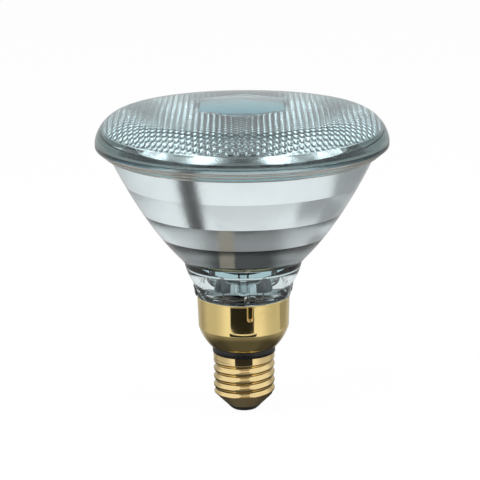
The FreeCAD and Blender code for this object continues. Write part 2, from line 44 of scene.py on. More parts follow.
class Wire:  # one socket of a material; a sum with it adds Math nodes
    def __init__(self, tree, socket):
        self.tree = tree
        self.socket = socket

    def __add__(self, other): return self.tree.sum("ADD", self, other)
    def __radd__(self, other): return self.tree.sum("ADD", other, self)
    def __sub__(self, other): return self.tree.sum("SUBTRACT", self, other)
    def __rsub__(self, other): return self.tree.sum("SUBTRACT", other, self)
    def __mul__(self, other): return self.tree.sum("MULTIPLY", self, other)
    def __rmul__(self, other): return self.tree.sum("MULTIPLY", other, self)
    def __truediv__(self, other): return self.tree.sum("DIVIDE", self, other)
    def __rtruediv__(self, other): return self.tree.sum("DIVIDE", other, self)


class Tree:  # a material's or the world's nodes
    def __init__(self, owner):
        owner.use_nodes = True
        self.nodes = owner.node_tree.nodes
        self.links = owner.node_tree.links
        self.nodes.clear()

    def add(self, kind, settings=None, inputs=None, output=0):
        node = self.nodes.new(kind)
        for name, value in (settings or {}).items():
            setattr(node, name, value)
        for name, value in (inputs or {}).items():
            socket = node.inputs[name]
            if isinstance(value, Wire):
                self.links.new(value.socket, socket)
            elif isinstance(value, tuple) and len(value) == 3 and len(socket.default_value) == 4:
                socket.default_value = (*value, 1.0)
            else:
                socket.default_value = value
        return Wire(self, node.outputs[output]) if node.outputs else None

    def place(self):  # the object's own coordinates, in metres
        return self.add("ShaderNodeTexCoord", output="Object")

    def sum(self, operation, *values):  # one Math node
        return self.add("ShaderNodeMath", {"operation": operation}, dict(enumerate(values)))

    def axis(self, vector, name):
        return self.add("ShaderNodeSeparateXYZ", inputs={0: vector}, output=name)

    def length(self, vector):
        return self.add("ShaderNodeVectorMath", {"operation": "LENGTH"}, {0: vector},
                        output="Value")

    def scaled(self, vector, shares):
        return self.add("ShaderNodeVectorMath", {"operation": "MULTIPLY"}, {0: vector, 1: shares})

    def noise(self, scale, detail, stretch=(1.0, 1.0, 1.0), rough=0.55):
        return self.add("ShaderNodeTexNoise", {}, {
            "Vector": self.scaled(self.place(), stretch), "Scale": scale, "Detail": detail,
            "Roughness": rough})

    def window(self, value, low, high, start=0.0, end=1.0):  # eased step between two values
        return self.add("ShaderNodeMapRange", {"interpolation_type": "SMOOTHSTEP"}, {
            "Value": value, "From Min": low, "From Max": high, "To Min": start, "To Max": end})

    def blend(self, factor, first, second):
        return self.add("ShaderNodeMix", {"data_type": "RGBA"},
                        {"Factor": factor, 6: first, 7: second}, output=2)

    def bump(self, height, strength, distance, under=None):  # under is a bump it lies over
        inputs = {"Height": height, "Strength": strength, "Distance": distance}
        if under:
            inputs["Normal"] = under
        return self.add("ShaderNodeBump", {}, inputs)

    def ray(self, kind):  # 1 for a ray of this kind
        return self.add("ShaderNodeLightPath", output=kind)

    def glow(self, colour, strength):
        return self.add("ShaderNodeEmission", {}, {"Color": colour, "Strength": strength})

    def layered(self, share, under, over):
        return self.add("ShaderNodeMixShader", {}, {0: share, 1: under, 2: over})

    def surface(self, shader, inside=None):
        ends = {"Surface": shader, "Volume": inside} if inside else {"Surface": shader}
        self.add("ShaderNodeOutputMaterial", {}, ends)


def newMaterial(name):
    material = bpy.data.materials.new(name)
    return material, Tree(material)


# Glass

glassKinds = {  # tint, how fast it deepens, ripple and whether it has fine rings
    "lensGlass": ((0.945, 0.98, 0.985), 45.0, 0.08, False),
    # the panel's grey tint is painted shade, which makes it darker than the clear lens glass
    "shadedPanelGlass": ((0.71, 0.73, 0.735), 45.0, 0.08, False),
    "bowlGlass": ((0.945, 0.98, 0.985), 18.0, 0.08, False),
    "flangeGlass": ((1.0, 0.97, 0.945), 18.0, 0.08, True),
    "tubeGlass": ((0.945, 0.98, 0.985), 18.0, 0.3, False),
}
glassLook = {
    "tintShade": 0.97, "tintPatches": (0.35, 0.7),
    "lampTint": (0.95, 0.97, 0.975),  # what the lamps' light takes on as it passes
    "depthTint": (0.40, 0.78, 0.84), "index": 1.5,
    "waveScale": 55.0, "waveHeight": 0.0004,
    "smearScale": 240.0, "smearPatches": (0.5, 0.8, 0.0, 0.05),
    "ringTurns": 4000.0, "ringStrength": 0.08, "ringHeight": 0.0001,
    "haze": (0.22, 0.195, 0.16), "hazeShares": (-0.6, 0.9, 0.22, 0.75),
    "streakScale": 90.0, "streakSpread": 1.6,
}


def pressedGlass(name):
    look = glassLook
    tint, deepening, ripple, rings = glassKinds[name]
    material, tree = newMaterial(name)
    waves = tree.noise(look["waveScale"], 2.0)
    smears = tree.noise(look["smearScale"], 4.0)
    relief = tree.bump(waves, ripple, look["waveHeight"])
    if rings:  # fine rings, pressed with the flange
        height = tree.axis(tree.place(), "Z") + waves * look["waveHeight"]
        line = tree.sum("SINE", height * look["ringTurns"])
        relief = tree.bump(line, look["ringStrength"], look["ringHeight"], relief)
    glass = tree.add("ShaderNodeBsdfPrincipled", {}, {
        "Base Color": tree.blend(tree.window(waves, *look["tintPatches"]), tint,
                                 tuple(look["tintShade"] * share for share in tint)),
        "Roughness": tree.window(smears, *look["smearPatches"]),
        "IOR": look["index"],
        "Transmission Weight": 1.0,
        "Normal": relief,
    })
    if rings:  # the glass behind them is cloudy in streaks
        cloud = tree.add("ShaderNodeBsdfDiffuse", {}, {"Color": look["haze"]})
        spread = look["streakSpread"]
        streaks = tree.noise(look["streakScale"], 2.0) * spread - spread / 2
        glass = tree.layered(tree.window(line + streaks, *look["hazeShares"]), glass, cloud)
    clear = tree.add("ShaderNodeBsdfTransparent", {}, {"Color": look["lampTint"]})
    depth = tree.add("ShaderNodeVolumeAbsorption", {}, {
        "Color": look["depthTint"], "Density": deepening})
    tree.surface(tree.layered(tree.ray("Is Shadow Ray"), glass, clear), depth)
    return material


seamLook = {"grey": (0.62, 0.61, 0.57), "cloud": 0.6}


def fusedSeam():  # where two glass pieces are melted together, only a pale cloud shows
    material, tree = newMaterial("fusedSeam")
    clear = tree.add("ShaderNodeBsdfTransparent", {}, {"Color": (1.0, 1.0, 1.0)})
    cloud = tree.add("ShaderNodeBsdfDiffuse", {}, {"Color": seamLook["grey"]})
    tree.surface(tree.layered(seamLook["cloud"], clear, cloud))
    return material


lensGlass, shadedPanelGlass, bowlGlass, flangeGlass, tubeGlass = (
    pressedGlass(name) for name in glassKinds)
seam = fusedSeam()


# Mirror film, metals and black parts

mirrorLook = {
    "silver": (0.97, 0.97, 0.97), "dull": (0.90, 0.90, 0.91),
    "cloudScale": 38.0, "cloudPatches": (0.3, 0.75),
    "speck": (0.95, 0.96, 0.96), "speckShare": 0.5, "speckScale": 1500.0,
    "speckSize": (0.10, 0.16, 1.0, 0.0), "speckPatches": (0.5, 0.66),
    "roughness": 0.12, "roughnessSpread": 0.06,
    "grainScale": 900.0, "grainStrength": 0.15, "grainHeight": 0.0001,
}


def aluminiumFilm():
    look = mirrorLook
    material, tree = newMaterial("aluminiumFilm")
    cloud = tree.noise(look["cloudScale"], 5.0)
    grain = tree.noise(look["grainScale"], 3.0)
    specks = tree.add("ShaderNodeTexVoronoi", {"feature": "F1"}, {
        "Vector": tree.place(), "Scale": look["speckScale"]}, output="Distance")
    speck = (tree.window(specks, *look["speckSize"])
             * tree.window(cloud, *look["speckPatches"]))
    colour = tree.blend(tree.window(cloud, *look["cloudPatches"]), look["silver"], look["dull"])
    tree.surface(tree.add("ShaderNodeBsdfPrincipled", {}, {
        "Base Color": tree.blend(speck * look["speckShare"], colour, look["speck"]),
        "Metallic": 1.0,
        "Roughness": look["roughness"] + grain * look["roughnessSpread"],
        "Normal": tree.bump(grain, look["grainStrength"], look["grainHeight"]),
    }))
    return material


brassKinds = {  # bright colour, stain and wear
    "skirtBrass": ((0.90, 0.70, 0.30), (0.55, 0.34, 0.11), 0.35),
    "shellBrass": ((0.93, 0.71, 0.34), (0.40, 0.22, 0.07), 0.6),
    "contactBrass": ((0.93, 0.71, 0.34), (0.40, 0.22, 0.07), 0.8),
    # a dark copy of the brass for the insides of the skirt and shell: painted shade
    "shadedInnerBrass": ((0.16, 0.11, 0.05), (0.06, 0.04, 0.02), 1.0),
}
brassLook = {
    "cloudScale": 70.0, "cloudPatches": (0.48, 0.85),
    "spotScale": 620.0, "spotPatches": (0.6, 0.78), "spotRelief": 0.6,
    "drawnScale": 420.0, "drawnStretch": (1.0, 1.0, 0.04),  # drawing lines run up the wall
    "roughness": 0.04, "scratch": 0.07, "stainRoughness": 0.18,
    "relief": 0.10, "reliefHeight": 0.00008,
}


def brass(name):
    look = brassLook
    bright, stain, wear = brassKinds[name]
    material, tree = newMaterial(name)
    cloud = tree.noise(look["cloudScale"], 5.0)
    spots = tree.noise(look["spotScale"], 4.0, rough=0.7)
    drawn = tree.noise(look["drawnScale"], 2.0, look["drawnStretch"])
    stained = (tree.window(cloud, *look["cloudPatches"]) * wear
               + tree.window(spots, *look["spotPatches"]) * wear)
    tree.surface(tree.add("ShaderNodeBsdfPrincipled", {}, {
        "Base Color": tree.blend(stained, bright, stain),
        "Metallic": 1.0,
        "Roughness": (look["roughness"] + drawn * look["scratch"]
                      + stained * look["stainRoughness"]),
        "Normal": tree.bump(drawn + spots * look["spotRelief"], look["relief"],
                            look["reliefHeight"]),
    }))
    return material


beddingLook = {"pale": (0.95, 0.96, 0.96), "dull": (0.84, 0.86, 0.86), "roughness": 0.7,
               "grainScale": 500.0, "grainPatches": (0.35, 0.75)}


def paleBedding():
    look = beddingLook
    material, tree = newMaterial("paleBedding")
    grain = tree.window(tree.noise(look["grainScale"], 4.0), *look["grainPatches"])
    tree.surface(tree.add("ShaderNodeBsdfPrincipled", {}, {
        "Base Color": tree.blend(grain, look["pale"], look["dull"]),
        "Roughness": look["roughness"],
    }))
    return material


metalKinds = {  # pale colour, dark colour, roughness and scale of the grain
    "darkSteel": ((0.13, 0.15, 0.16), (0.06, 0.07, 0.08), 0.25, 700.0),
    "nickelWire": ((0.70, 0.68, 0.63), (0.46, 0.44, 0.41), 0.25, 900.0),
    "tungsten": ((0.36, 0.36, 0.37), (0.18, 0.18, 0.19), 0.4, 1500.0),
    "solder": ((0.62, 0.63, 0.64), (0.38, 0.38, 0.39), 0.28, 500.0),
}
metalLook = {"grainPatches": (0.35, 0.75), "roughnessSpread": 0.2, "relief": 0.2,
             "reliefHeight": 0.00005}


def greyMetal(name):
    look = metalLook
    pale, dark, roughness, scale = metalKinds[name]
    material, tree = newMaterial(name)
    grain = tree.noise(scale, 4.0)
    tree.surface(tree.add("ShaderNodeBsdfPrincipled", {}, {
        "Base Color": tree.blend(tree.window(grain, *look["grainPatches"]), pale, dark),
        "Metallic": 1.0,
        "Roughness": roughness + grain * look["roughnessSpread"],
        "Normal": tree.bump(grain, look["relief"], look["reliefHeight"]),
    }))
    return material


blackKinds = {  # colour, roughness and coat
    "blackCeramic": ((0.003, 0.003, 0.004), 0.30, 0.0),
    "blackGlass": ((0.002, 0.002, 0.003), 0.12, 0.4),
}
blackLook = {
    "dustScale": 160.0, "dustPatches": (0.55, 0.8), "dustShare": 0.4, "dustPale": 0.008,
    "grainScale": 900.0, "roughnessSpread": 0.15, "relief": 0.15, "reliefHeight": 0.0001,
}


def blackBody(name):
    look = blackLook
    colour, roughness, coat = blackKinds[name]
    material, tree = newMaterial(name)
    grain = tree.noise(look["grainScale"], 4.0)
    dust = tree.window(tree.noise(look["dustScale"], 4.0), *look["dustPatches"])
    dusty = tuple(look["dustPale"] + share * 2 for share in colour)
    tree.surface(tree.add("ShaderNodeBsdfPrincipled", {}, {
        "Base Color": tree.blend(dust * look["dustShare"], colour, dusty),
        "Roughness": roughness + grain * look["roughnessSpread"],
        "Coat Weight": coat,
        "Normal": tree.bump(grain, look["relief"], look["reliefHeight"]),
    }))
    return material


film = aluminiumFilm()
skirtBrass, shellBrass, contactBrass, shadedInnerBrass = (brass(name) for name in brassKinds)
bedding = paleBedding()
darkSteel, nickelWire, tungsten, solder = (greyMetal(name) for name in metalKinds)
blackCeramic, blackGlass = (blackBody(name) for name in blackKinds)
print("finishes made")


# Mesh helpers, in millimetres

def makeMesh(name, points, faces, materials, marks=None, sharp=35.0):
    mesh = bpy.data.meshes.new(name)
    mesh.from_pydata([Vector(point) * mm for point in points], [], faces)
    for material in materials:
        mesh.materials.append(material)
    if marks:
        mesh.polygons.foreach_set("material_index", marks)
    mesh.validate()
    mesh.shade_smooth()
    mesh.set_sharp_from_angle(angle=math.radians(sharp))
    piece = bpy.data.objects.new(name, mesh)
    bpy.context.scene.collection.objects.link(piece)
    return piece


def fit(piece, node):
    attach(piece, "root")
    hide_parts(node)


def arc(start, end, radius, side, steps):  # points after the start, up to the end
    start, end = Vector(start), Vector(end)
    chord = end - start
    across = Vector((-chord.y, chord.x)).normalized() * (1 if side == "left" else -1)
    centre = (start + end) / 2 + across * math.sqrt(radius ** 2 - chord.length_squared / 4)
    first = math.atan2(start.y - centre.y, start.x - centre.x)
    sweep = 2 * math.asin(chord.length / 2 / radius) * (1 if side == "left" else -1)
    return [(centre.x + radius * math.cos(first + sweep * step / steps),
             centre.y + radius * math.sin(first + sweep * step / steps))
            for step in range(1, steps + 1)]


def curve(function, low, high, steps):  # points after low, up to high
    return [(function(low + (high - low) * step / steps), low + (high - low) * step / steps)
            for step in range(1, steps + 1)]


def ease(value, low, high):
    share = min(max((value - low) / (high - low), 0.0), 1.0)
    return share * share * (3 - 2 * share)


def turned(profile, angles, shift=None, closed=True):
    # profile is a list of (radius, height); a radius of 0 makes one point on the axis
    points, rings, faces = [], [], []
    for radius, height in profile:
        if radius < 1e-6:
            rings.append([len(points)] * len(angles))
            points.append((0.0, 0.0, height))
            continue
        rings.append(list(range(len(points), len(points) + len(angles))))
        for angle in angles:
            reach, lift = shift(radius, height, angle) if shift else (radius, height)
            points.append((reach * math.cos(angle), reach * math.sin(angle), lift))
    rows = []  # the row of the profile that each face starts from
    last = len(rings) if closed else len(rings) - 1
    for row in range(last):
        low, high = rings[row], rings[(row + 1) % len(rings)]
        for column in range(len(angles)):
            after = (column + 1) % len(angles)
            corners = [low[column], low[after], high[after], high[column]]
            face = [corner for index, corner in enumerate(corners)
                    if corner not in corners[:index]]
            if len(face) > 2:
                faces.append(face)
                rows.append(row)
    return points, faces, rows


def evenAngles(count):
    return [2 * math.pi * index / count for index in range(count)]


# Lens

lensSizes = {
    "top": 133.2, "seam": 117.2, "rim": 61.1, "edge": 0.8, "edgeBreak": (0.25, 0.2),
    "mouth": 56.2, "footStep": 0.3, "domeRound": 360.0, "shoulder": 12.5, "shoulderRound": 14.5,
    "wall": 3.4, "innerCorner": 8.0, "innerDrop": 5.1, "innerRound": 11.1,
    "columnPitch": 2.3, "dotRadius": 1.06, "dotHeight": 0.52, "dotFullness": 0.62,
    "edgeMargin": (0.1, 0.9), "panelMargin": (0.3, 1.0),  # where the dots grow to full height
    "panelWidth": 38.0, "panelSide": 26.4, "panelLength": 52.0, "panelDrop": 0.9,
    "panelFrame": 1.3, "panelFrameDepth": 0.7, "panelSlope": 0.12, "panelReach": 0.05,
    "segments": 400, "shoulderRows": 16, "domeRows": 12, "gridStep": 0.385,
}


def domeHeight(radius, inset=0.0):
    size = lensSizes
    return (size["top"] - size["domeRound"]
            + math.sqrt((size["domeRound"] - inset) ** 2 - radius ** 2))


def panelShape():  # the panel's half width, side and length, and its slanted sides' lean
    size = lensSizes
    half, side, tip = size["panelWidth"] / 2, size["panelSide"] / 2, size["panelLength"] / 2
    return half, side, tip, math.atan2(tip - side, half)


def panelCorners(grow):  # six corners of the smooth panel, moved out by grow
    half, side, tip, lean = panelShape()
    reach = grow / math.cos(lean)
    x, y = half + grow, side + reach - grow * math.tan(lean)
    return [(0, tip + reach), (x, y), (x, -y), (0, -tip - reach), (-x, -y), (-x, y)]


def panelAway(x, y):  # how far a place lies outside the panel, or inside where negative
    half, _, tip, lean = panelShape()
    slant = (abs(y) - tip) * math.cos(lean) + abs(x) * math.sin(lean)
    return max(abs(x) - half, slant)


def nearestDot(x, y):  # every second column of dots is half a pitch along
    step = lensSizes["columnPitch"]
    pitch = step * 2 / math.sqrt(3)
    best = pitch
    column = round(x / step)
    for near in (column - 1, column, column + 1):
        offset = pitch / 2 if near % 2 else 0.0
        row = round((y - offset) / pitch) * pitch + offset
        best = min(best, math.hypot(x - near * step, y - row))
    return best


def innerDome():  # the inner dome's radius, its corner's radius and the turn to that corner
    inner = lensSizes["domeRound"] - lensSizes["wall"]
    corner = lensSizes["mouth"] - lensSizes["innerCorner"]
    return inner, corner, math.asin(corner / inner)


def innerShell(reach):
    # a place on the lens's inner face, reach along it from the axis: radius, height and the
    # way into the bulb
    size = lensSizes
    inner, corner, turn = innerDome()
    if reach <= inner * turn:
        angle = reach / inner
        radius = inner * math.sin(angle)
        return radius, domeHeight(radius, size["wall"]), -math.sin(angle), -math.cos(angle)
    high = domeHeight(corner, size["wall"])
    chord = Vector((size["innerCorner"], -size["innerDrop"]))
    across = Vector((chord.y, -chord.x)).normalized()
    centre = (Vector((corner, high)) + chord / 2
              + across * math.sqrt(size["innerRound"] ** 2 - chord.length_squared / 4))
    first = math.atan2(high - centre.y, corner - centre.x)
    angle = first - (reach - inner * turn) / size["innerRound"]
    out = Vector((math.cos(angle), math.sin(angle)))
    place = centre + out * size["innerRound"]
    return place.x, place.y, -out.x, -out.y


def innerReach():  # how far the dotted face goes along itself, from the axis to its edge
    size = lensSizes
    inner, _, turn = innerDome()
    chord = math.hypot(size["innerCorner"], size["innerDrop"])
    return inner * turn + size["innerRound"] * 2 * math.asin(chord / 2 / size["innerRound"])


def lensInside(x, y, edge):  # lifts a flat place onto the dotted face or the panel
    size = lensSizes
    reach = math.hypot(x, y)
    away = panelAway(x, y)
    if away < size["panelReach"]:
        drop = size["panelDrop"]
        if away < -size["panelFrame"] - size["panelReach"]:
            drop -= size["panelFrameDepth"]
        return x, y, domeHeight(reach, size["wall"]) - drop
    radius, height, inward, down = innerShell(reach)
    share = max(0.0, 1 - (nearestDot(x, y) / size["dotRadius"]) ** 2)
    margin = ease(edge - reach, *size["edgeMargin"]) * ease(away, *size["panelMargin"])
    dot = size["dotHeight"] * share ** size["dotFullness"] * margin
    turn = (radius + inward * dot) / max(reach, 1e-6)
    return x * turn, y * turn, height + down * dot


def lensProfile(edge):  # from the dotted face's edge, over the foot and the rim to the top
    size = lensSizes
    edgeRadius, edgeHeight, _, _ = innerShell(edge)
    dome = size["rim"] - size["shoulder"]
    inset, lift = size["edgeBreak"]
    profile = [(edgeRadius, edgeHeight), (size["mouth"], edgeHeight - size["footStep"]),
               (size["mouth"], size["seam"]), (size["rim"] - inset, size["seam"]),
               (size["rim"], size["seam"] + lift), (size["rim"], size["seam"] + size["edge"])]
    profile += arc(profile[-1], (dome, domeHeight(dome)), size["shoulderRound"], "left",
                   size["shoulderRows"])
    radii = [dome * (1 - row / size["domeRows"]) for row in range(1, size["domeRows"] + 1)]
    return profile + [(radius, domeHeight(radius)) for radius in radii]


def lensNet(edge):  # a flat net of triangles, with the panel's edges drawn in
    size = lensSizes
    step, count = size["gridStep"], size["segments"]
    rise = step * math.sqrt(3) / 2
    rows, columns = int(edge / rise) + 1, int(edge / step) + 1
    net = []
    for row in range(-rows, rows + 1):
        for column in range(-columns, columns + 1):
            x = row * rise
            y = column * step + (step / 2 if row % 2 else 0.0)
            if math.hypot(x, y) < edge - step * 0.5:
                net.append(Vector((x, y)))
    start = len(net)
    net += [Vector((edge * math.cos(angle), edge * math.sin(angle)))
            for angle in evenAngles(count)]
    edges = [(start + index, start + (index + 1) % count) for index in range(count)]
    frameWidth, slope = size["panelFrame"], size["panelSlope"]
    for grow in (slope, 0.0, -frameWidth, -frameWidth - slope):
        base = len(net)
        net += [Vector(corner) for corner in panelCorners(grow)]
        edges += [(base + turn, base + (turn + 1) % 6) for turn in range(6)]
    places, _, triangles, origins, _, _ = delaunay_2d_cdt(net, edges, [], 1, 1e-5)
    return places, triangles, origins, start


def lensMesh():
    size = lensSizes
    edge, footRow = innerReach(), 2
    points, faces, rows = turned(lensProfile(edge), evenAngles(size["segments"]), closed=False)
    marks = [1 if row == footRow else 0 for row in rows]  # the foot is melted to the bowl
    places, triangles, origins, start = lensNet(edge)
    number = {}  # the net's outer ring is the first ring of the profile
    for index, sources in enumerate(origins):
        onRing = [source - start for source in sources
                  if start <= source < start + size["segments"]]
        if onRing:
            number[index] = onRing[0]
            continue
        number[index] = len(points)
        points.append(lensInside(*places[index], edge))
    for triangle in triangles:
        faces.append([number[index] for index in reversed(triangle)])
        x, y = (sum(places[index][axis] for index in triangle) / 3 for axis in (0, 1))
        marks.append(2 if panelAway(x, y) < -size["panelFrame"] else 0)
    return points, faces, marks


points, faces, marks = lensMesh()
fit(makeMesh("lensDome", points, faces, [lensGlass, seam, shadedPanelGlass], marks, sharp=50.0),
    "lens")
print("lens made", len(faces))


# Reflector

bowlSizes = {
    "mouth": 53.5, "seam": 117.2, "vertex": 57.6, "rim": 61.1, "edgeBreak": (0.25, 0.2),
    "lensMouth": 56.2, "outerMouth": 54.99, "outerVertex": 54.5, "flange": 111.2,
    "flangeLand": 1.4, "flangeRise": 0.8, "flangeEdge": 1.3, "ridges": 3, "ridgeRound": 1.9,
    "zones": (79.0, 89.2, 101.0), "zoneStep": 0.12, "zoneRows": 10,
    "zoneBulges": (0.30, 0.14, 0.32, 0.30, -0.2),  # from the top zone down to the floor
    "coatEdge": 67.6, "coatBreak": (0.35, 0.55), "ledge": 1.3, "ledgeDrop": 0.7,
    "floorTop": 61.98, "floorBottom": 58.8, "tubeBore": 1.5, "underDrop": 3.0,
    "pocket": 63.7, "pocketRise": 0.35, "pocketDip": 0.4, "pocketSteps": (0.3, 0.7, 1.0),
    "foot": 43.6, "spigot": 18.45, "bore": 15.55, "chamfer": 1.2, "cap": 50.8,
    "collar": 19.95, "collarEdge": 0.15, "collarTop": 53.2, "swell": 0.4,
    "flare": 21.6, "flareTop": 57.3, "flarePower": 1.3, "flareRound": 24.0, "wall": 2.9,
    "collarRows": 8, "flareRows": 12, "ledgeRows": 10, "wallRows": 24, "ridgeRows": 6,
    "segments": 360,
}
crimpSizes = {"count": 4, "turn": 8.0}  # for the glass lugs and the skirt's crimps alike
lugSizes = {"width": 5.0, "low": 51.1, "height": 4.4, "proud": 0.5, "flat": (1.3, 1.0),
            "round": 1.2, "sideShare": 0.6, "fade": (0.72, 1.05)}


def innerRadius(height):
    size = bowlSizes
    return size["mouth"] * math.sqrt((height - size["vertex"]) / (size["seam"] - size["vertex"]))


def underRadius(height):
    return innerRadius(height + bowlSizes["underDrop"])


def outerRadius(height):
    size = bowlSizes
    return (size["outerMouth"]
            * math.sqrt((height - size["outerVertex"]) / (size["flange"] - size["outerVertex"])))


def crimpAway(angle):  # signed angle to the nearest crimp
    turn = 2 * math.pi / crimpSizes["count"]
    first = -math.pi / 2 + math.radians(crimpSizes["turn"])
    return (angle - first + turn / 2) % turn - turn / 2


def lugShift(radius, height, angle):
    bowl, size = bowlSizes, lugSizes
    if radius < bowl["collar"] - 0.5 or not bowl["cap"] < height < bowl["flareTop"]:
        return radius, height
    across = abs(crimpAway(angle)) * radius
    along = abs(height - (size["low"] + size["height"] / 2))
    side = max(across / (size["width"] / 2), along / (size["height"] / 2))
    flatAcross, flatAlong = size["flat"]
    corner = math.hypot(max(0, across - flatAcross), max(0, along - flatAlong)) / size["round"]
    mask = 1 - ease(max(side * size["sideShare"], corner), *size["fade"])
    return radius + size["proud"] * mask, height


def neckOutside():  # from the bore, round the spigot and up to the top of the flare
    size = bowlSizes
    edge, swollen = size["collarEdge"], size["collar"] + size["swell"]
    profile = [(size["bore"], size["foot"]), (size["spigot"] - size["chamfer"], size["foot"]),
               (size["spigot"], size["foot"] + size["chamfer"]), (size["spigot"], size["cap"]),
               (size["collar"], size["cap"] + edge)]
    for row in range(1, size["collarRows"] + 1):
        share = row / size["collarRows"]
        profile.append((size["collar"] + size["swell"] * math.sin(share * math.pi / 2),
                        size["cap"] + edge + (size["collarTop"] - size["cap"] - edge) * share))
    rows = size["flareRows"]
    return profile + [
        (swollen + (size["flare"] - swollen) * (row / rows) ** size["flarePower"],
         size["collarTop"] + (size["flareTop"] - size["collarTop"]) * row / rows)
        for row in range(1, rows + 1)]


def bowlOutside(start):  # from the flare, over the ledge and up the wall to the flange
    size = bowlSizes
    coatOuter = outerRadius(size["coatEdge"])
    inset, drop = size["coatBreak"]
    ledge = (coatOuter - size["ledge"], size["coatEdge"] - size["ledgeDrop"])
    profile = arc(start, ledge, size["flareRound"], "left", size["ledgeRows"])
    profile += [(coatOuter - inset, size["coatEdge"] - drop), (coatOuter, size["coatEdge"])]
    return profile + curve(outerRadius, size["coatEdge"], size["flange"], size["wallRows"])


def flangeOutside():  # over the ridges to the rim, and up to the seam
    size = bowlSizes
    inset, drop = size["edgeBreak"]
    lowX, lowY = size["outerMouth"] + size["flangeLand"], size["flange"] + size["flangeRise"]
    highY = size["seam"] - size["flangeEdge"]
    profile = [(lowX, lowY)]
    for ridge in range(size["ridges"]):
        share = (ridge + 1) / size["ridges"]
        end = (lowX + (size["rim"] - lowX) * share, lowY + (highY - lowY) * share)
        profile += arc(profile[-1], end, size["ridgeRound"], "left", size["ridgeRows"])
    return profile + [(size["rim"], size["seam"] - drop), (size["rim"] - inset, size["seam"])]


def mirrorInside():  # down the zones to the floor, and where in it the coat ends
    size = bowlSizes
    profile = [(size["mouth"], size["seam"])]
    heights = [size["seam"], *reversed(size["zones"]), size["coatEdge"], size["floorTop"]]
    for high, low, bulge in zip(heights, heights[1:], size["zoneBulges"]):
        if high in size["zones"]:
            profile += [(innerRadius(high), high)]
        step = size["zoneStep"] if low in size["zones"] else 0
        for row in range(1, size["zoneRows"] + 1):
            share = row / size["zoneRows"]
            radius = innerRadius(high) + (innerRadius(low) + step - innerRadius(high)) * share
            profile.append((radius - bulge * 4 * share * (1 - share), high + (low - high) * share))
        if low == size["coatEdge"]:
            coatEnd = len(profile) - 1
    return profile, coatEnd


def neckInside():  # down the floor's bore, out under the floor and down the hollow neck
    size = bowlSizes
    profile = [(size["tubeBore"], size["floorTop"]), (size["tubeBore"], size["floorBottom"]),
               (underRadius(size["floorBottom"]), size["floorBottom"])]
    profile += curve(underRadius, size["floorBottom"], size["pocket"], size["zoneRows"])
    pocket, top = profile[-1][0], size["pocket"] + size["pocketRise"]
    near, middle, far = size["pocketSteps"]
    return profile + [
        (pocket + near, top), (pocket + middle, top),
        (pocket + far, size["pocket"] - size["pocketDip"]),
        (size["flare"] - size["wall"], size["flareTop"]),
        (size["collar"] + size["swell"] - size["wall"], size["collarTop"]),
        (size["bore"], size["cap"])]


profile = neckOutside()
profile += bowlOutside(profile[-1])
flangeRow = len(profile) - 1
profile += flangeOutside()
seamRow = len(profile) - 1
profile.append((bowlSizes["lensMouth"], bowlSizes["seam"]))
coatStart = len(profile)
zones, coatRows = mirrorInside()
profile += zones + neckInside()
points, faces, rows = turned(profile, evenAngles(bowlSizes["segments"]), lugShift)
marks = [1 if coatStart <= row < coatStart + coatRows else 2 if row == seamRow
         else 3 if flangeRow <= row < seamRow - 2 else 0 for row in rows]
fit(makeMesh("reflectorBowl", points, faces, [bowlGlass, film, seam, flangeGlass], marks,
             sharp=24.0), "reflector")
print("reflector made", len(faces))


# Skirt

skirtSizes = {
    "radius": 19.25, "wall": 0.5, "top": 50.8, "lipProud": 0.45, "lipHeight": 0.7,
    "lipRoll": 0.1, "shoulder": 37.4, "shoulderBreak": 0.6, "bottom": 28.6,
    "bottomRadius": 14.2, "bowlRound": 20.0, "hole": 12.0,
    "crimpWidth": 1.9, "crimpLength": 6.6, "crimpDepth": 0.95, "crimpFade": (0.62, 1.32),
    "beddingGap": 3,  # how many rows above the shoulder the pale bedding ends
    "coarseRows": (39.0, 41.0, 42.5), "fineStart": 43.2, "fineStep": 0.2, "fineRows": 35,
    "coarseTurns": 22, "fineTurns": 34, "fineReach": 0.11, "bowlRows": 16, "innerRows": 12,
}


def crimpAngles():  # closer together where the crimps are
    coarse, fine = skirtSizes["coarseTurns"], skirtSizes["fineTurns"]
    reach, count = skirtSizes["fineReach"], crimpSizes["count"]
    quarter = math.pi / count
    angles = []
    for crimp in range(count):
        middle = -math.pi / 2 + math.radians(crimpSizes["turn"]) + crimp * 2 * math.pi / count
        angles += [middle - reach + 2 * reach * step / fine for step in range(fine)]
        angles += [middle + reach + 2 * (quarter - reach) * step / coarse
                   for step in range(coarse)]
    return angles


def crimpShift(radius, height, angle):
    size = skirtSizes
    half = size["crimpWidth"] / 2
    across = abs(crimpAway(angle)) * radius
    end = size["top"] - size["crimpLength"] + half
    away = math.hypot(across, min(0.0, height - end))
    near, far = size["crimpFade"]
    mask = 1 - ease(away, half * near, half * far)
    return radius - size["crimpDepth"] * mask, height


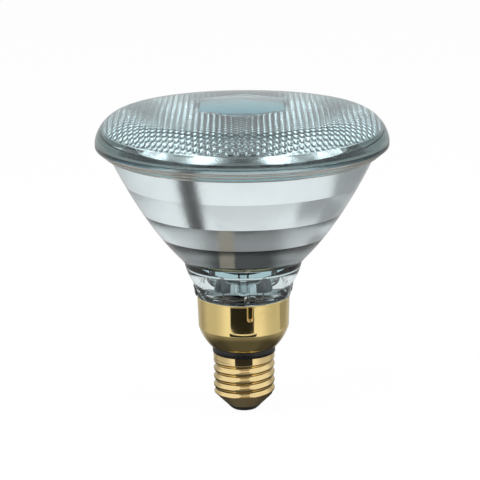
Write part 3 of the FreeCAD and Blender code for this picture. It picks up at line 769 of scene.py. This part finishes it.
def skirtProfile():
    size = skirtSizes
    wall, radius, bottom, top = size["wall"], size["radius"], size["bottom"], size["top"]
    bend = (radius - 0.2, size["shoulder"] - size["shoulderBreak"])
    profile = [(size["hole"], bottom), (size["bottomRadius"] - 0.15, bottom),
               (size["bottomRadius"], bottom + 0.08)]
    profile += arc(profile[-1], bend, size["bowlRound"], "left", size["bowlRows"])
    profile += [(radius - 0.06, size["shoulder"] - 0.25), (radius, size["shoulder"] + 0.1)]
    low = top - size["lipHeight"]
    fine = [size["fineStart"] + size["fineStep"] * step for step in range(size["fineRows"])]
    rows = [row for row in (*size["coarseRows"], *fine) if row < low] + [low]
    lean = (size["lipProud"] - size["lipRoll"]) / (low - size["shoulder"])
    wide = [(radius + lean * (row - size["shoulder"]), row) for row in rows]
    lip = radius + size["lipProud"]
    profile += wide + [(lip - size["lipRoll"] * 0.4, low + 0.12), (lip, low + 0.3),
                       (lip, top - 0.2), (lip - 0.12, top), (lip - wall + 0.1, top),
                       (lip - wall, top - 0.1)]
    insideStart = len(profile) - 1
    profile += [(reach - wall, row) for reach, row in reversed(wide)]
    beddingEnd = len(profile) - 1 - size["beddingGap"]
    profile += [(radius - wall, size["shoulder"] + 0.1), (bend[0] - wall, bend[1])]
    profile += arc(profile[-1], (size["bottomRadius"] - wall / 2, bottom + wall),
                   size["bowlRound"] - wall, "right", size["innerRows"])
    return profile + [(size["hole"], bottom + wall)], insideStart, beddingEnd


profile, insideStart, beddingEnd = skirtProfile()
points, faces, rows = turned(profile, crimpAngles(), crimpShift)
# below the bedding, the skirt's inside takes the dark brass of painted shade
marks = [0 if row < insideStart else 2 if row < beddingEnd else 1 for row in rows]
fit(makeMesh("brassSkirt", points, faces, [skirtBrass, shadedInnerBrass, bedding], marks, sharp=40.0),
    "skirt")
print("skirt made")


# Ring and screw shell

ringSizes = {"radius": 13.4, "edge": 0.15, "bore": 8.6, "lip": 1.6, "lipHeight": 1.2,
             "spigot": 1.8, "fit": 0.05, "segments": 160}
shellSizes = {
    "crest": 13.1, "depth": 0.95, "pitch": 3.629, "crestHeight": 16.3, "groovePower": 1.15,
    "top": 25.6, "wall": 0.4, "footRadius": 7.6, "footHeight": 2.25, "firstCrest": 7.75,
    "fade": (21.6, 23.4),  # where the thread runs out at the top
    "soft": 0.25,  # how gently it runs out on the cone
    "rows": 130, "segments": 180,
}


def ringProfile():
    size, base, top = ringSizes, shellSizes["top"], skirtSizes["bottom"]
    spigot = shellSizes["crest"] - shellSizes["wall"] - size["fit"]
    waist, lip = skirtSizes["hole"] - size["fit"], skirtSizes["hole"] + size["lip"]
    lipLow = top + skirtSizes["wall"] + size["fit"]
    lipHigh = lipLow + size["lipHeight"]
    return [(size["bore"], base - size["spigot"]), (spigot, base - size["spigot"]),
            (spigot, base), (size["radius"] - size["edge"], base),
            (size["radius"], base + size["edge"]), (size["radius"], top - size["edge"]),
            (size["radius"] - size["edge"], top), (waist, top), (waist, lipLow),
            (lip, lipLow), (lip, lipHigh), (size["bore"], lipHigh)]


points, faces, _ = turned(ringProfile(), evenAngles(ringSizes["segments"]))
fit(makeMesh("capRing", points, faces, [blackCeramic], sharp=50.0),
    "insulator_ring")


def threadShift(radius, height, angle):
    size = shellSizes
    turn = (height - size["crestHeight"]) / size["pitch"] - angle / (2 * math.pi)
    wave = 0.5 - 0.5 * math.cos(2 * math.pi * turn)
    groove = wave ** size["groovePower"] * (1 - ease(height, *size["fade"]))
    thread = size["crest"] - size["depth"] * groove
    slope = (size["crest"] - size["footRadius"]) / (size["firstCrest"] - size["footHeight"])
    cone = size["footRadius"] + (height - size["footHeight"]) * slope
    inset = size["wall"] if radius < size["crest"] - size["wall"] / 2 else 0.0
    gap, soft = thread - cone, size["soft"]
    reach = (thread + cone - math.sqrt(gap * gap + soft * soft)) / 2
    return reach - inset, height


def shellProfile():  # up the outside and down the inside
    size = shellSizes
    heights = [size["footHeight"] + (size["top"] - size["footHeight"]) * row / size["rows"]
               for row in range(size["rows"] + 1)]
    return ([(size["crest"], height) for height in heights]
            + [(size["crest"] - size["wall"], height) for height in reversed(heights)])


points, faces, rows = turned(shellProfile(), evenAngles(shellSizes["segments"]), threadShift)
# the shell's inside takes the dark brass of painted shade
marks = [1 if row > shellSizes["rows"] else 0 for row in rows]
fit(makeMesh("threadedShell", points, faces, [shellBrass, shadedInnerBrass], marks, sharp=60.0),
    "screw_shell")
print("ring and screw shell made")


# Glass plug, contact and solder at the tip

contactSizes = {"radius": 4.5, "wall": 0.5, "height": 0.15, "eyelet": 0.9, "eyeletBreak": 0.05,
                "edge": 0.25, "edgeRows": 5, "segments": 96}
plugSizes = {"top": 7.0, "fit": 0.05, "faceHeight": 0.15, "faceRadius": 5.5,
             "faceRound": 12.0, "faceRows": 10, "bore": 1.1, "footInset": 0.56,
             "topInset": 0.3, "segments": 120}
solderSizes = {
    "profile": [(0.0, 0.0), (1.2, 0.0), (1.55, 0.015), (1.75, 0.05), (1.9, 0.1), (1.97, 0.15),
                (0.88, 0.15), (0.88, 1.3), (0.42, 1.3), (0.42, 0.5), (0.0, 0.5)],
    "unevenBeyond": 1.2, "unevenBelow": 0.14, "segments": 64,
}
seat = contactSizes["height"] + contactSizes["wall"]


def plugProfile():
    size, shell = plugSizes, shellSizes
    hole, low = contactSizes["radius"] + size["fit"], shell["footHeight"] - size["fit"]
    foot = shell["footRadius"] - size["footInset"]
    rise = ((shell["firstCrest"] - shell["footHeight"])
            / (shell["crest"] - shell["wall"] - foot))
    top = foot - size["fit"] - size["topInset"] + (size["top"] - shell["footHeight"]) / rise
    profile = [(hole, size["faceHeight"]), (size["faceRadius"], size["faceHeight"])]
    profile += arc(profile[-1], (shell["footRadius"] - size["fit"], low), size["faceRound"],
                   "left", size["faceRows"])
    return profile + [(foot - size["fit"], low), (top, size["top"]), (size["bore"], size["top"]),
                      (size["bore"], seat), (hole, seat)]


def contactProfile():
    size = contactSizes
    profile = [(size["eyelet"], size["height"] + size["eyeletBreak"]),
               (size["eyelet"] + 0.1, size["height"]),
               (size["radius"] - size["edge"], size["height"])]
    profile += arc(profile[-1], (size["radius"], size["height"] + size["edge"]), size["edge"],
                   "left", size["edgeRows"])
    return profile + [(size["radius"], seat), (size["eyelet"], seat)]


def solderShift(radius, height, angle):  # a hand-made button is a little uneven
    if radius <= solderSizes["unevenBeyond"] or height >= solderSizes["unevenBelow"]:
        return radius, height
    uneven = 1 + 0.035 * math.sin(3 * angle + 0.7) + 0.02 * math.sin(7 * angle)
    return radius * uneven, height


points, faces, _ = turned(plugProfile(), evenAngles(plugSizes["segments"]))
fit(makeMesh("glassPlug", points, faces, [blackGlass], sharp=45.0),
    "base_insulator")
points, faces, _ = turned(contactProfile(), evenAngles(contactSizes["segments"]))
fit(makeMesh("contactDisc", points, faces, [contactBrass], sharp=40.0),
    "centre_contact")
points, faces, _ = turned(solderSizes["profile"], evenAngles(solderSizes["segments"]),
                          solderShift, closed=False)
fit(makeMesh("solderButton", points, faces, [solder], sharp=60.0), "contact_solder")
print("tip made")


# Filament and the metal inside the glass

coilSizes = {"height": 69.6, "reach": 5.5, "coilLength": 8.4, "coilRadius": 0.82, "lead": 0.5,
             "wire": 0.24, "turns": 11, "around": 10, "perTurn": 20, "fade": (-0.01, 0.05)}


def wireMesh(line, radius, around):
    points, faces = [], []
    up = Vector((0, 1, 0))
    for index, place in enumerate(line):
        before = line[max(index - 1, 0)]
        after = line[min(index + 1, len(line) - 1)]
        ahead = (after - before).normalized()
        side = ahead.cross(up)
        side = side.normalized() if side.length > 1e-4 else Vector((1, 0, 0))
        up = side.cross(ahead).normalized()
        for spoke in range(around):
            angle = 2 * math.pi * spoke / around
            points.append(place + (side * math.cos(angle) + up * math.sin(angle)) * radius)
    for index in range(len(line) - 1):
        for spoke in range(around):
            after = (spoke + 1) % around
            row, over = index * around, (index + 1) * around
            faces.append([row + spoke, over + spoke, over + after, row + after])
    last = (len(line) - 1) * around
    faces.append(list(range(around)))
    faces.append([last + spoke for spoke in reversed(range(around))])
    return points, faces


def coilLine():
    size = coilSizes
    half, height = size["coilLength"] / 2, size["height"]
    line = [Vector((-size["reach"], 0, height)), Vector((-half - size["lead"], 0, height))]
    steps = size["turns"] * size["perTurn"]
    for step in range(steps + 1):
        share = step / steps
        angle = 2 * math.pi * size["turns"] * share
        reach = size["coilRadius"] * ease(min(share, 1 - share), *size["fade"])
        line.append(Vector((-half + size["coilLength"] * share, reach * math.sin(angle),
                            height + reach * math.cos(angle))))
    return line + [Vector((half + size["lead"], 0, height)), Vector((size["reach"], 0, height))]


points, faces = wireMesh(coilLine(), coilSizes["wire"], coilSizes["around"])
fit(makeMesh("tungstenCoil", points, faces, [tungsten], sharp=60.0), "filament")

keptNodes = {
    "exhaust_tube": tubeGlass, "ferrule_left": darkSteel, "ferrule_right": darkSteel,
    "filament_post_left": nickelWire, "filament_post_right": nickelWire,
    "live_lead": nickelWire, "neutral_lead": nickelWire,
}
for node, material in keptNodes.items():
    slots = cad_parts[node].material_slots
    if not slots:
        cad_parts[node].data.materials.append(material)
    for slot in slots:
        slot.material = material
print("inner parts made")


# Studio floor

white = (1.0, 1.0, 1.0)
studio = {  # a shade goes from one place to another, and from one brightness to another
    "floorRadius": 6.0, "floorSegments": 64, "floorColour": (0.8, 0.8, 0.8),
    "floorWhite": 0.97, "floorThrough": 0.95,
    "footShade": (0.034, 0.078, 0.10, 0.95),  # the bulb shades the floor round its foot
    "farShade": (0.080, 0.094, 0.68, 0.92),  # and less so where the mirror film shows it
    "sideShade": (0.6, 1.0, 1.0, 0.62),  # the floor is darker to the left and right
    "backShade": (0.1, 0.6, 1.0, 0.55),  # and behind, and so is the room
    "roomShade": (0.0, 0.6, 0.95),  # the room is darker overhead
    "worldLevel": 0.5, "ceiling": 0.3, "metalCeiling": 0.9,
}


def besides(tree, away):  # 0 in front and behind, 1 to the left and right
    return tree.sum("ABSOLUTE", tree.axis(tree.place(), "X") / away)


def shownTo(tree, seen, through):  # the camera, metal or glass
    return tree.sum("MAXIMUM", seen, tree.sum("MAXIMUM", tree.ray("Is Glossy Ray"), through))


def plainFloor():
    count, radius = studio["floorSegments"], studio["floorRadius"]
    points = [(0.0, 0.0, 0.0)] + [(radius * math.cos(angle) / mm, radius * math.sin(angle) / mm,
                                   0.0) for angle in evenAngles(count)]
    faces = [[0, 1 + index, 1 + (index + 1) % count] for index in range(count)]
    material, tree = newMaterial("paleFloor")
    seen, through = tree.ray("Is Camera Ray"), tree.ray("Is Transmission Ray")
    mirrored = tree.window(tree.ray("Glossy Depth"), 0.2, 0.8)
    away = tree.length(tree.place())
    behind = tree.axis(tree.place(), "Y") / away
    shade = tree.window(away, *studio["footShade"])
    shade = shade * tree.window(besides(tree, away), *studio["sideShade"])
    shade = shade * tree.window(behind, *studio["backShade"])
    far = tree.window(away, *studio["farShade"])
    inGlass = mirrored * far + (1 - mirrored) * studio["floorThrough"]
    level = seen + (1 - seen) * (through * inGlass + (1 - through) * shade)
    share = shownTo(tree, seen * studio["floorWhite"], through)
    matt = tree.add("ShaderNodeBsdfDiffuse", {}, {"Color": studio["floorColour"]})
    tree.surface(tree.layered(share, matt, tree.glow(white, level)))
    makeMesh("floor", points, faces, [material])


# Cards round the bulb, which only bare metal or only glass shows: painted reflections, most of
# them painted shade

cards = {  # brightness, whether metal shows it, whether glass does, and its corners
    "frontCard": (0.02, True, False, [
        (-66, -108, 1), (48, -108, 1), (380, -800, 1), (-500, -800, 1)]),
    "frontWall": (0.02, False, True, [
        (-500, -800, 0), (380, -800, 0), (380, -800, 900), (-500, -800, 900)]),
    # a warm grey card: a painted reflection that darkens the middle of the thread's highlights
    "eyeCard": ((0.34, 0.28, 0.22), True, False, [
        (-360, -800, 200), (300, -800, 200), (300, -800, 1300), (-360, -800, 1300)]),
    # a dark card by the foot, which only metal shows: painted shade round the foot
    "footFence": (0.03, True, False, [
        (-36, -58, 0), (32, -58, 0), (32, -58, 19), (-36, -58, 19)]),
    "leftStrip": (0.02, False, True, [
        (-42, -22, 1), (-88, -92, 1), (-112, -150, 1), (-190, -112, 1), (-122, -62, 1),
        (-66, -2, 1)]),
    "backRight": (0.35, True, True, [
        (100, 20, 1), (180, 20, 1), (700, 200, 1), (300, 900, 1)]),
    "rightPatch": (0.33, False, True, [
        (80, -38, 1), (98, -38, 1), (128, 5, 1), (128, 60, 1), (80, 60, 1)]),
}
shadeLook = {
    "height": 64.0, "span": (25.0, 47.0), "segments": 96,
    "ring": (0.030, 0.050, 0.08, 0.42), "sides": (0.45, 0.85, 0.0, 0.24),
    # a warm card that only glass shows: a painted reflection of the brass skirt in the mirror film
    "skirtReflectionPatch": ((0.30, 0.26, 0.21), False, True, [
        (-4, -24, 64.5), (-7, -46, 64.5), (-19, -46, 64.5), (-11, -22, 64.5)]),
}


def stageCard(name, points, faces, material, inMetal, inGlass):
    card = makeMesh(name, points, faces, [material])
    card.visible_camera = False
    card.visible_diffuse = False
    card.visible_shadow = False
    card.visible_glossy = inMetal
    card.visible_transmission = inGlass


def flatCard(name, brightness, inMetal, inGlass, corners):
    material, tree = newMaterial(name)
    colour = brightness if isinstance(brightness, tuple) else (brightness,) * 3
    tree.surface(tree.glow(colour, 1.0))
    stageCard(name, corners, [list(range(len(corners)))], material, inMetal, inGlass)


def shadeRing():  # what the mirror film shows of the shaded space under the bowl
    look = shadeLook
    points, faces, _ = turned([(reach, look["height"]) for reach in look["span"]],
                              evenAngles(look["segments"]), closed=False)
    material, tree = newMaterial("shadeRing")
    away = tree.length(tree.scaled(tree.place(), (1.0, 1.0, 0.0)))
    shade = tree.window(away, *look["ring"]) + tree.window(besides(tree, away), *look["sides"])
    tree.surface(tree.glow(white, shade))
    stageCard("shadeRing", points, faces, material, False, True)


# Lamps and room

lamps = {  # place, aim and size in metres, power, and how bright glass shows its two parts
    "leftBox": ((-0.75, -0.45, 0.45), (0, 0, 0.08), (0.6, 0.8), 9.0, (5.8, 2.2)),
    "rightBox": ((0.8, -0.35, 0.4), (0, 0, 0.08), (0.6, 0.8), 7.0, (5.8, 1.9)),
    "topBox": ((0.0, 0.35, 0.95), (0, 0, 0.1), (0.9, 0.7), 3.0, (0.8, 0.8)),
}
lampParts = {"Low": (-1, 0.1), "High": (0.1, 1)}  # from -1 at the bottom to 1 at the top


def softBox(name, place, aim, span, power, glow):
    place, (width, height) = Vector(place), span
    light = bpy.data.lights.new(name, "AREA")
    light.shape = "RECTANGLE"
    light.size, light.size_y = width, height
    light.energy = power
    lamp = bpy.data.objects.new(name, light)
    lamp.visible_glossy = False
    lamp.visible_transmission = False
    lamp.location = place
    turn = (Vector(aim) - place).to_track_quat("-Z", "Y")
    lamp.rotation_euler = turn.to_euler()
    for (part, (low, high)), level in zip(lampParts.items(), glow):
        corners = [(place + turn @ Vector((x * width / 2, y * height / 2, 0))) / mm
                   for x, y in ((-1, low), (1, low), (1, high), (-1, high))]
        flatCard(name + part, level, False, True, corners)  # what glass shows of the lamp
    bpy.context.scene.collection.objects.link(lamp)


def studioRoom():
    world = bpy.data.worlds.new("studioWorld")
    bpy.context.scene.world = world
    air = Tree(world)
    seen, through = air.ray("Is Camera Ray"), air.ray("Is Transmission Ray")
    share = shownTo(air, seen, through)
    way = air.add("ShaderNodeTexCoord", output="Generated")
    ceiling = through * studio["ceiling"] + (1 - through) * studio["metalCeiling"]
    dusk = air.window(air.axis(way, "Z"), *studio["roomShade"], ceiling)
    behind = air.window(air.axis(way, "Y"), *studio["backShade"])
    dusk = dusk * (through + (1 - through) * behind)
    strength = seen + (1 - seen) * (share * dusk + (1 - share) * studio["worldLevel"])
    background = air.add("ShaderNodeBackground", {}, {"Color": white, "Strength": strength})
    air.add("ShaderNodeOutputWorld", {}, {"Surface": background})


plainFloor()
for name, card in cards.items():
    flatCard(name, *card)
shadeRing()
# the painted reflection of the skirt in the mirror film
flatCard("skirtReflectionPatch", *shadeLook["skirtReflectionPatch"])
for name, lamp in lamps.items():
    softBox(name, *lamp)
studioRoom()


# Camera

view = {"place": (0.0, -0.7197, 0.2604), "pitch": 14.50, "roll": -0.56, "yaw": 0.10,
        "lens": 132.24, "sensor": 36.0}
camera = bpy.data.cameras.new("camera")
camera.lens = view["lens"]
camera.sensor_width = view["sensor"]
eye = bpy.data.objects.new("camera", camera)
eye.matrix_world = (Matrix.Translation(view["place"])
                    @ Matrix.Rotation(math.radians(view["yaw"]), 4, "Z")
                    @ Matrix.Rotation(math.radians(90 - view["pitch"]), 4, "X")
                    @ Matrix.Rotation(math.radians(view["roll"]), 4, "Z"))
bpy.context.scene.collection.objects.link(eye)
bpy.context.scene.camera = eye
bpy.context.scene.view_settings.view_transform = "Standard"
print("studio made")
